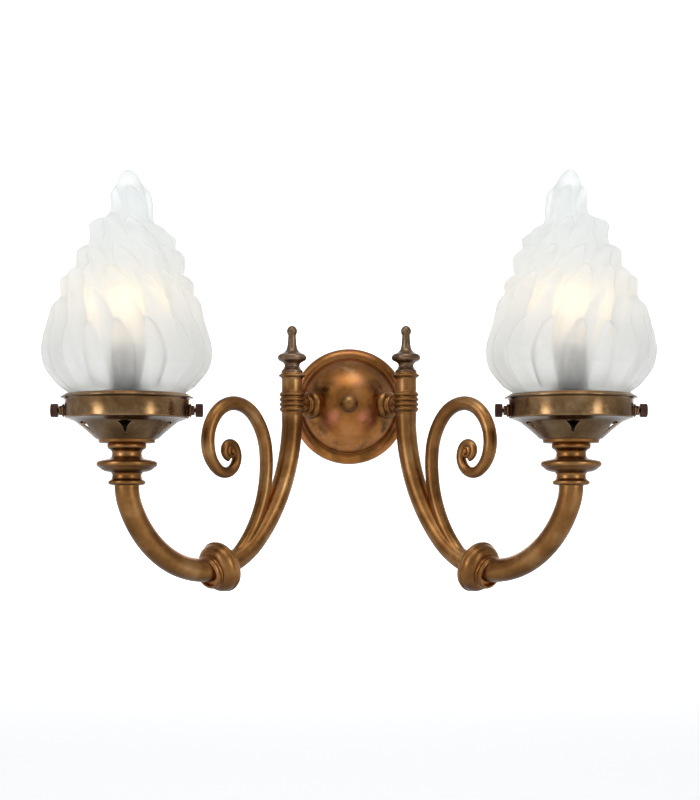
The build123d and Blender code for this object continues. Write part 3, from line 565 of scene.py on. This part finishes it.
# the barrel's foot goes into the arm at a faint seam
seam, seam_reach, seam_depth, seam_step = 6.4, 2.0, 0.12, 0.1
inner_radii = []
run = 0.0
for number, point in enumerate(inner_points):
    run += (point - inner_points[number - 1]).length if number else 0
    inner_radii.append(8.0 - seam_depth * (abs(run - seam) < seam_reach) + seam_step * (run < seam))
pair("inner_arm", swept([in_arm(p) for p in inner_points], inner_radii, 56), "aged_brass")
knuckle_at = inner_points[-1]
outer_points, _, _ = bend_points(knuckle_at, (cos(inner_heading), sin(inner_heading)), outer_bends, 1, 2)
last = len(outer_points) - 1
outer_radii = [8.65 + 0.45 * max(0, 1 - 4 * n / last) + 0.3 * (n / last) ** 3 for n in range(last + 1)]
pair("outer_arm", swept([in_arm(p) for p in outer_points], outer_radii, 56), "aged_brass")

# ---------------------------------------------------------------- knuckle
knuckle_axis = outward * cos(knuckle_tilt) - up * sin(knuckle_tilt)
knuckle = Outline((HUB, -8.6), (10.4, -8.6)).arc((11.3, -8.3), (11.6, -7.5), 4)
knuckle.to((11.6, -6.2), (17.4, -6.0)).arc((18.6, -5.7), (19.0, -5.0), 4).to((18.7, -4.3))
knuckle.arc((19.8, -2.9), (19.0, -1.4), 8).to((18.7, -1.0))
knuckle.arc((17.4, 3.4), (13.2, 6.6), 12).arc((11.4, 7.0), (11.3, 7.7), 5)
knuckle.arc((12.6, 9.6), (12.1, 11.8), 8).to((11.4, 12.2), (10.4, 12.0), (9.6, 9.5), (HUB, 9.5))
pair("knuckle", turned(knuckle, in_arm(knuckle_at), knuckle_axis, 96), "aged_brass")

# ---------------------------------------------------------------- scroll
tail_points, _, _ = bend_points(scroll_crest, (-1, 0), tail_bends, 1, 2.5)
curl_points, curl_marks, _ = bend_points(scroll_crest, (1, 0), curl_bends, -1, 4)
scroll_points = list(reversed(tail_points)) + curl_points[1:]
top_number = len(tail_points) - 1
eye_lift = 2.6
scroll_centres, scroll_radii = [], []
for number, point in enumerate(scroll_points):
    if number <= top_number:
        radius, forward = 5.1 + 0.4 * number / top_number, 0.0
    else:
        place_along = number - top_number
        bend = max(i for i, mark in enumerate(curl_marks[:-1]) if mark <= place_along)
        share = (place_along - curl_marks[bend]) / (curl_marks[bend + 1] - curl_marks[bend])
        radius = curl_radii[bend] + (curl_radii[bend + 1] - curl_radii[bend]) * share
        late = max(0.0, (place_along - curl_marks[4]) / (curl_marks[-1] - curl_marks[4]))
        forward = eye_lift * late
    scroll_centres.append(in_arm(point, forward))
    scroll_radii.append(radius)
# the eye's boss stands at the centre of the last bend but one
eye_bend = len(curl_bends) - 2
eye_heading = -radians(sum(angle for _, angle in curl_bends[:eye_bend]))
to_eye = Vector((sin(eye_heading), -cos(eye_heading))) * curl_bends[eye_bend][0]
eye_centre = curl_points[curl_marks[eye_bend]] + to_eye
eye = Outline((HUB, -2.6), (4.4, -2.6), (4.9, -1.6), (4.9, 2.4)).arc((4.3, 3.9), (2.9, 4.6), 7)
eye.to((2.3, 4.3)).arc((1.5, 6.0), (HUB, 6.6), 6)
pair("scroll", joined(swept(scroll_centres, scroll_radii, 36),
                      turned(eye, in_arm(eye_centre), to_viewer, 40)), "aged_brass")

# ---------------------------------------------------------------- stem, seat and gallery
stem = Outline((HUB, arm_top), (9.6, arm_top), (11.8, arm_top + 0.5))
stem.arc((13.5, arm_top + 2.1), (12.6, arm_top + 3.6), 8)
stem.arc((11.2, arm_top + 4.6), (10.7, arm_top + 6.2), 8).arc((11.1, -56.9), (12.6, -56.0), 7)
stem.arc((17.2, -54.9), (20.2, -52.5), 8).arc((22.0, -50.2), (20.4, -48.1), 10).to((14.7, -46.8)).arc(
    (11.6, -45.6), (10.8, -43.6), 7)
stem.arc((11.4, -40.6), (13.2, -39.4), 7).arc((14.2, -37.6), (13.2, seat_foot), 8).to((HUB, seat_foot))
pair("stem", turned(stem, cup_foot, up, 112), "aged_brass")

seat = Outline((HUB, seat_foot), (19.5, seat_foot)).arc((20.3, -34.4), (20.4, -33.6), 5)
seat.arc((20.7, -32.7), (21.9, -32.2), 5).to((HUB, -32.2))
pair("gallery_seat", turned(seat, cup_foot, up, 96), "aged_brass")


def gallery_shape():
    """The cone, band and rolled rim of the gallery, one wall thick."""
    wall, floor_inside, bore = 1.0, -31.2, 5.1
    line = Outline((bore, floor_inside - wall), (22.6, floor_inside - wall))
    line.arc((29.4, -26.1), (37.2, -19.9), 16)
    line.to((43.4, -17.6)).arc((44.5, -17.2), (44.8, -16.2), 6)
    line.to((44.8, -4.6)).arc((45.2, -3.8), (46.2, -3.4), 5)
    line.to((47.3, -3.1)).arc((47.85, -2.5), (47.3, -1.9), 7)
    line.to((46.4, -1.3)).arc((45.3, -0.5), (44.4, -0.15), 5)
    line.to((43.9, -0.3), (43.8, -16.2), (42.8, -16.7), (36.8, -18.6))
    line.arc((28.8, -24.9), (22.3, floor_inside), 16)
    line.to((bore, floor_inside), (bore, floor_inside - wall))
    return turned(line, cup_foot, up, 160)


def tulip_cutter(turn):
    """A radial prism with the outline of a tulip: a bowed brow over a tapering foot."""
    top, foot, half = -20.9, -28.6, 4.9
    brow = Outline((-half, top - 0.4)).arc((0, top + 0.5), (half, top - 0.4), 10)
    line = brow.arc((1.9, top - 3.6), (0.9, foot), 10).to((-0.9, foot))
    points = line.arc((-1.9, top - 3.6), (-half, top - 0.4), 10).points[:-1]
    facing, across = Vector((cos(turn), sin(turn), 0)), Vector((-sin(turn), cos(turn), 0))
    verts = [cup_foot + facing * r + across * a + up * h for r in (20, 42) for a, h in points]
    return verts, ring_faces(2, len(points))


def cut_tulips(piece, sign):
    """Cuts the tulips round a gallery's cone; the first is the one that faces the viewer."""
    turns = [radians(tulip_turn + 360 / tulip_count * number) for number in range(tulip_count)]
    tool = mesh_object("tulip_tool", *mirrored(*joined(*[tulip_cutter(turn) for turn in turns]), sign))
    cutting = piece.modifiers.new("tulips", "BOOLEAN")
    cutting.object = tool
    cutting.operation = "DIFFERENCE"
    cutting.solver = "EXACT"
    seen = piece.evaluated_get(bpy.context.evaluated_depsgraph_get())
    cut_mesh = bpy.data.meshes.new_from_object(seen)
    piece.modifiers.clear()
    piece.data = cut_mesh
    bpy.data.objects.remove(tool)


pair("gallery", gallery_shape(), "gallery_brass", cut=cut_tulips)

# ---------------------------------------------------------------- bushes and thumb screws
bush = Outline((1.6, 44.85), (4.2, 44.85)).arc((4.75, 45.6), (4.3, 46.5), 6).to((3.3, 46.6), (3.45, 47.0))
bush.arc((3.6, 47.8), (3.2, 48.7), 6).to((1.6, 48.75), (1.6, 44.85))
screw = Outline((HUB, 41.6), (1.1, 41.6), (1.5, 42.1), (1.5, 49.5), (4.3, 49.5))
screw.arc((4.75, 49.7), (4.85, 50.1), 3)
screw.to((4.85, 54.1)).arc((4.7, 54.6), (4.2, 54.8), 3).to((1.4, 54.8), (1.2, 54.5), (HUB, 54.4))


def knurl(radius, height, turn):
    """Fine ribs round the screw's head."""
    ribs, depth = 36, 0.16
    return depth * (cos(ribs * turn) - 1) if radius > 4.5 and 49.9 < height < 54.4 else 0.0


def radial(angle):
    """The direction that lies so many degrees round from +X."""
    return Vector((cos(radians(angle)), sin(radians(angle)), 0))


screw_centre = cup_foot + up * screw_drop
bushes = [turned(bush, screw_centre, radial(angle), 48) for angle in screw_places.values()]
pair("screw_bushes", joined(*bushes), "dark_brass")
for where, angle in screw_places.items():
    screw_shape = turned(screw, screw_centre, radial(angle), 144, knurl)
    pair(f"{where}_shade_screw", screw_shape, "screw_bronze", f"{where}_screw")

# ---------------------------------------------------------------- lampholder and lamp
holder_foot, holder_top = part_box("right_holder_cap")[0].z / MM, holder_high.z / MM
seat_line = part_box("right_holder_cap")[1].z / MM
holder = Outline((5.1, holder_foot), (8.0, holder_foot), (8.0, holder_foot + 5)).arc(
    (12.2, holder_foot + 8.0), (13.6, seat_line - 1.2), 10)
holder.to((14.0, seat_line - 0.8), (14.0, seat_line - 0.1), (5.1, seat_line - 0.1), (5.1, holder_foot))
pair("holder_cap", turned(holder, cup_foot, up, 72), "holder_black")
sleeve = Outline((12.8, seat_line), (13.9, seat_line))
groove_count, groove_pitch = 5, 3.6
for groove in range(groove_count):
    rib_foot = seat_line + 1.6 + groove_pitch * groove
    sleeve.to((13.9, rib_foot), (13.5, rib_foot + 0.4), (13.5, rib_foot + 0.9), (13.9, rib_foot + 1.3))
sleeve.to((13.9, holder_top - 0.5), (13.5, holder_top), (12.9, holder_top), (12.8, seat_line))
pair("holder_sleeve", turned(sleeve, cup_foot, up, 72), "holder_black")
lamp_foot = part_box("right_lamp_glass")[0].z / MM
bulb_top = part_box("right_lamp_glass")[1].z / MM
bulb = Outline((7.0, lamp_foot), (7.3, lamp_foot + 3)).arc((10.6, lamp_foot + 9.6), (15.2, 54.4), 8)
bulb.arc((22.4, 71.0), (HUB, bulb_top), 26)
pair("lamp_glass", turned(bulb, cup_foot, up, 72), "lamp_glass", "lamp")

# ---------------------------------------------------------------- flame shade
# By height: the skin in the valleys, the crest that the tongues reach, and how far the flame leans back
# towards the wall plate's side.
shade_foot, shade_tip = -16.6, 162.2
skin = (
    (shade_foot, 41.3), (0.5, 41.4), (2.0, 43.0), (6.0, 47.0), (12.0, 51.6), (20.0, 56.0), (30.0, 57.6),
    (45.0, 52.6), (62.0, 46.6), (75.0, 41.4), (88.0, 35.6), (100.0, 30.2), (110.0, 25.6), (120.0, 18.6),
    (128.0, 13.2), (138.0, 11.4), (146.0, 10.4), (151.0, 9.2), (155.0, 7.9), (159.0, 5.6), (161.3, 3.2),
    (shade_tip, HUB),
)
crest = (
    (shade_foot, 41.3), (0.5, 41.4), (2.0, 43.9), (6.0, 49.6), (10.5, 53.6), (15.0, 57.2), (19.0, 59.8),
    (23.5, 61.3), (28.0, 61.9), (34.0, 61.8), (41.0, 60.2), (49.0, 57.8), (58.0, 55.4), (67.0, 53.2),
    (75.0, 50.8), (84.0, 46.8), (93.0, 43.0), (101.0, 39.0), (108.0, 36.0), (114.0, 33.0), (120.0, 30.0),
    (126.0, 26.4), (132.0, 20.6), (138.0, 18.0), (144.0, 15.6), (150.0, 11.4), (156.0, 7.6), (shade_tip, HUB),
)
drift = (
    (84.0, 0.0), (91.0, -2.4), (112.0, -2.4), (120.0, -1.2), (126.0, -2.0), (134.0, -3.8), (142.0, -3.1),
    (151.0, -2.0), (156.0, -1.4), (shade_tip, -0.6),
)
# Rows of tongues: foot and tip heights, how many, where the first tip stands, half width, lean, and how much
# lower the tips are on the wall plate's side. Angles are in degrees.
tongue_rows = (
    (-2.0, 50.0, 18, 10.0, 11.0, 6.0, -5.0),
    (2.0, 70.0, 16, 0.0, 12.5, 14.0, -4.0),
    (30.0, 89.0, 14, 0.0, 14.5, 22.0, 2.0),
    (50.0, 109.0, 10, 0.0, 20.0, 28.0, 3.0),
    (72.0, 129.0, 8, 0.0, 26.0, 32.0, 11.0),
    (98.0, 152.0, 4, 180.0, 46.0, 34.0, 0.0),
)
shade_wall = 3.0
shade_neck_inner = 38.4


def flame_radius(heights, turns):
    """The outer radius over a grid of heights and angles: the skin, and the tongues over it. Each tongue is a
    ridge across its own width that rises towards its tip, and a smooth maximum joins them."""
    z, turn = np.meshgrid(heights, turns, indexing="ij")
    low, high = np.array(skin), np.array(crest)
    base = np.interp(z, low[:, 0], low[:, 1])
    reach = np.maximum(np.interp(z, high[:, 0], high[:, 1]) - base, 0)
    sharpness = 2.4
    lean_power, narrow_from, narrow_power = 3.4, 0.45, 1.9
    ridge_skew, ridge_power = 0.12, 2.3
    rise_end, rise_power, fall_from = 0.88, 2.1, 0.86
    groove_depth, groove_at, groove_width = 0.7, 0.1, 0.16
    total = np.ones_like(base)
    for row, (foot, tip, count, first, half, lean, drop) in enumerate(tongue_rows):
        for number in range(count):
            chance = sin(12.9 * number + 4.7 * row)
            off_axis = number % (count // 2 or 1) > 0
            end = radians(first + 360 * number / count + 2.5 * sin(7.3 * number + row) * off_axis)
            own_tip = tip - drop * (1 - cos(end)) / 2 + 3.0 * chance * (abs(sin(end)) > 0.3)
            share = np.clip((z - foot) / (own_tip - foot), 0, 1)
            middle = end - radians(lean) * (1 - share**lean_power)
            late = np.clip((share - narrow_from) / (1 - narrow_from), 0, 1)
            narrowing = np.sqrt(np.clip(1 - late**narrow_power, 1e-6, 1))
            width = radians(half * (1 + 0.08 * chance)) * narrowing * (0.82 + 0.18 * share)
            across = (turn - middle + pi) % (2 * pi) - pi
            t = np.clip(across / width, -1, 1)
            ridge = np.clip(1 - np.abs(t + ridge_skew * (1 - t * t)) ** ridge_power, 0, 1)
            if row > 1:
                rise = np.clip(share / rise_end, 0, 1) ** rise_power
            else:
                rise = np.clip(share / (0.1 + 0.5 * row), 0, 1)
            fall = np.sqrt(np.clip(1 - np.clip((share - fall_from) / (1 - fall_from), 0, 1) ** 2, 0, 1))
            along = np.sin(pi * np.clip(share * 1.1, 0, 1)) * (row > 0)
            groove = groove_depth * np.exp(-(((t - groove_at) / groove_width) ** 2)) * along
            lift = reach * rise * fall * ridge - groove
            inside = (np.abs(across) < width) & (share > 0) & (share < 1)
            total += np.where(inside, np.exp(sharpness * np.clip(lift, 0, 20)) - 1, 0)
    return base + np.log(total) / sharpness


def shade_shape(around=300):
    """The glass: the flame outside, a plain hollow one wall inside it, and the open neck."""
    dense_from = 150
    heights = np.concatenate([
        np.linspace(shade_foot, 0, 6)[:-1],
        np.linspace(0, dense_from, 180)[:-1],
        np.linspace(dense_from, shade_tip, 26),
    ])
    turns = np.linspace(0, 2 * pi, around, endpoint=False)
    outer = flame_radius(heights, turns)
    known, lean = np.array(skin), np.array(drift)
    inner_heights = [*np.linspace(148, 4, 48), 1.0, shade_foot]
    verts = []

    def ring(height, radii):
        middle = cup_foot + Vector((float(np.interp(height, lean[:, 0], lean[:, 1])), 0, height))
        return [middle + Vector((r * cos(t), r * sin(t), 0)) for r, t in zip(radii, turns)]

    for height, row in zip(heights, outer):
        verts += ring(height, row)
    for height in inner_heights:
        radius = max(0.4, float(np.interp(height, known[:, 0], known[:, 1])) - shade_wall)
        verts += ring(height, [shade_neck_inner if height < 2 else radius] * around)
    rings = len(heights)
    outer_faces = ring_faces(rings, around, close_ends=False)
    inner_start = rings * around
    hollow = ring_faces(len(inner_heights), around, close_ends=False)
    inner_faces = [tuple(inner_start + index for index in face) for face in hollow]
    neck_start = (rings + len(inner_heights) - 1) * around
    lip = []
    for number in range(around):
        after = (number + 1) % around
        lip.append((neck_start + number, neck_start + after, after, number))
    tip = [tuple((rings - 1) * around + number for number in range(around))]
    ceiling = [tuple(inner_start + number for number in range(around))]
    return verts, outer_faces + inner_faces + lip + tip + ceiling


pair("glass_shade", shade_shape(), "frosted_glass", "shade", sharp=80,
     also=["shade_neck", "shade_shoulder"])


# ---------------------------------------------------------------- floor, backdrop, light and camera (metres)
def stage_plane(name, corners, glow):
    """A pale matt sheet of the stage, with a little light of its own."""
    mesh = bpy.data.meshes.new(name)
    mesh.from_pydata(corners, [], [(0, 1, 2, 3)])
    made = bpy.data.objects.new(name, mesh)
    bpy.context.scene.collection.objects.link(made)
    finish, _, shader = new_finish(name)
    shader.inputs["Base Color"].default_value = (0.9, 0.9, 0.9, 1)
    shader.inputs["Roughness"].default_value = 0.9
    shader.inputs["Emission Color"].default_value = (1, 1, 1, 1)
    shader.inputs["Emission Strength"].default_value = glow
    mesh.materials.append(finish)


floor_z, floor_side, floor_front, floor_rear = -0.42, 4, -3, 3.4
stage_plane("floor", [(-floor_side, floor_front, floor_z), (floor_side, floor_front, floor_z),
                      (floor_side, floor_rear, floor_z), (-floor_side, floor_rear, floor_z)], 0.25)
drop_side, drop_y, drop_top = 2.6, 3.2, 2.4
stage_plane("backdrop", [(-drop_side, drop_y, floor_z), (drop_side, drop_y, floor_z),
                         (drop_side, drop_y, drop_top), (-drop_side, drop_y, drop_top)], 1.0)

world = bpy.data.worlds.new("studio")
bpy.context.scene.world = world
world.use_nodes = True
sky = world.node_tree.nodes["Background"]
sky.inputs["Color"].default_value = (0.95, 0.97, 1.0, 1)
sky.inputs["Strength"].default_value = 0.46


def soft_box(name, where, width, height, power, colour=(1, 1, 1)):
    """A rectangular light that faces the middle of the sconce, with its power in watts."""
    data = bpy.data.lights.new(name, "AREA")
    data.shape = "RECTANGLE"
    data.size, data.size_y = width, height
    data.energy = power
    data.color = colour
    made = bpy.data.objects.new(name, data)
    made.location = where
    made.rotation_euler = (middle - Vector(where)).to_track_quat("-Z", "Y").to_euler()
    bpy.context.scene.collection.objects.link(made)


middle = Vector((0, -0.11, 0))
soft_box("left_box", (-1.3, -1.2, 0.5), 0.5, 1.3, 9)
soft_box("right_box", (1.2, -1.3, 0.4), 0.4, 1.2, 7, (0.95, 0.97, 1.0))
soft_box("top_box", (0, -0.7, 1.5), 1.2, 0.8, 7.5)

camera_data = bpy.data.cameras.new("camera")
camera = bpy.data.objects.new("camera", camera_data)
bpy.context.scene.collection.objects.link(camera)
camera_data.lens = 85.5
camera_data.sensor_width = 36
camera_data.shift_x = 1 / 800
camera_data.shift_y = 0.15
camera.location = (0, -1.52, -0.0906)
camera.rotation_euler = (radians(90), 0, 0)
bpy.context.scene.camera = camera
bpy.context.scene.view_settings.view_transform = "Standard"
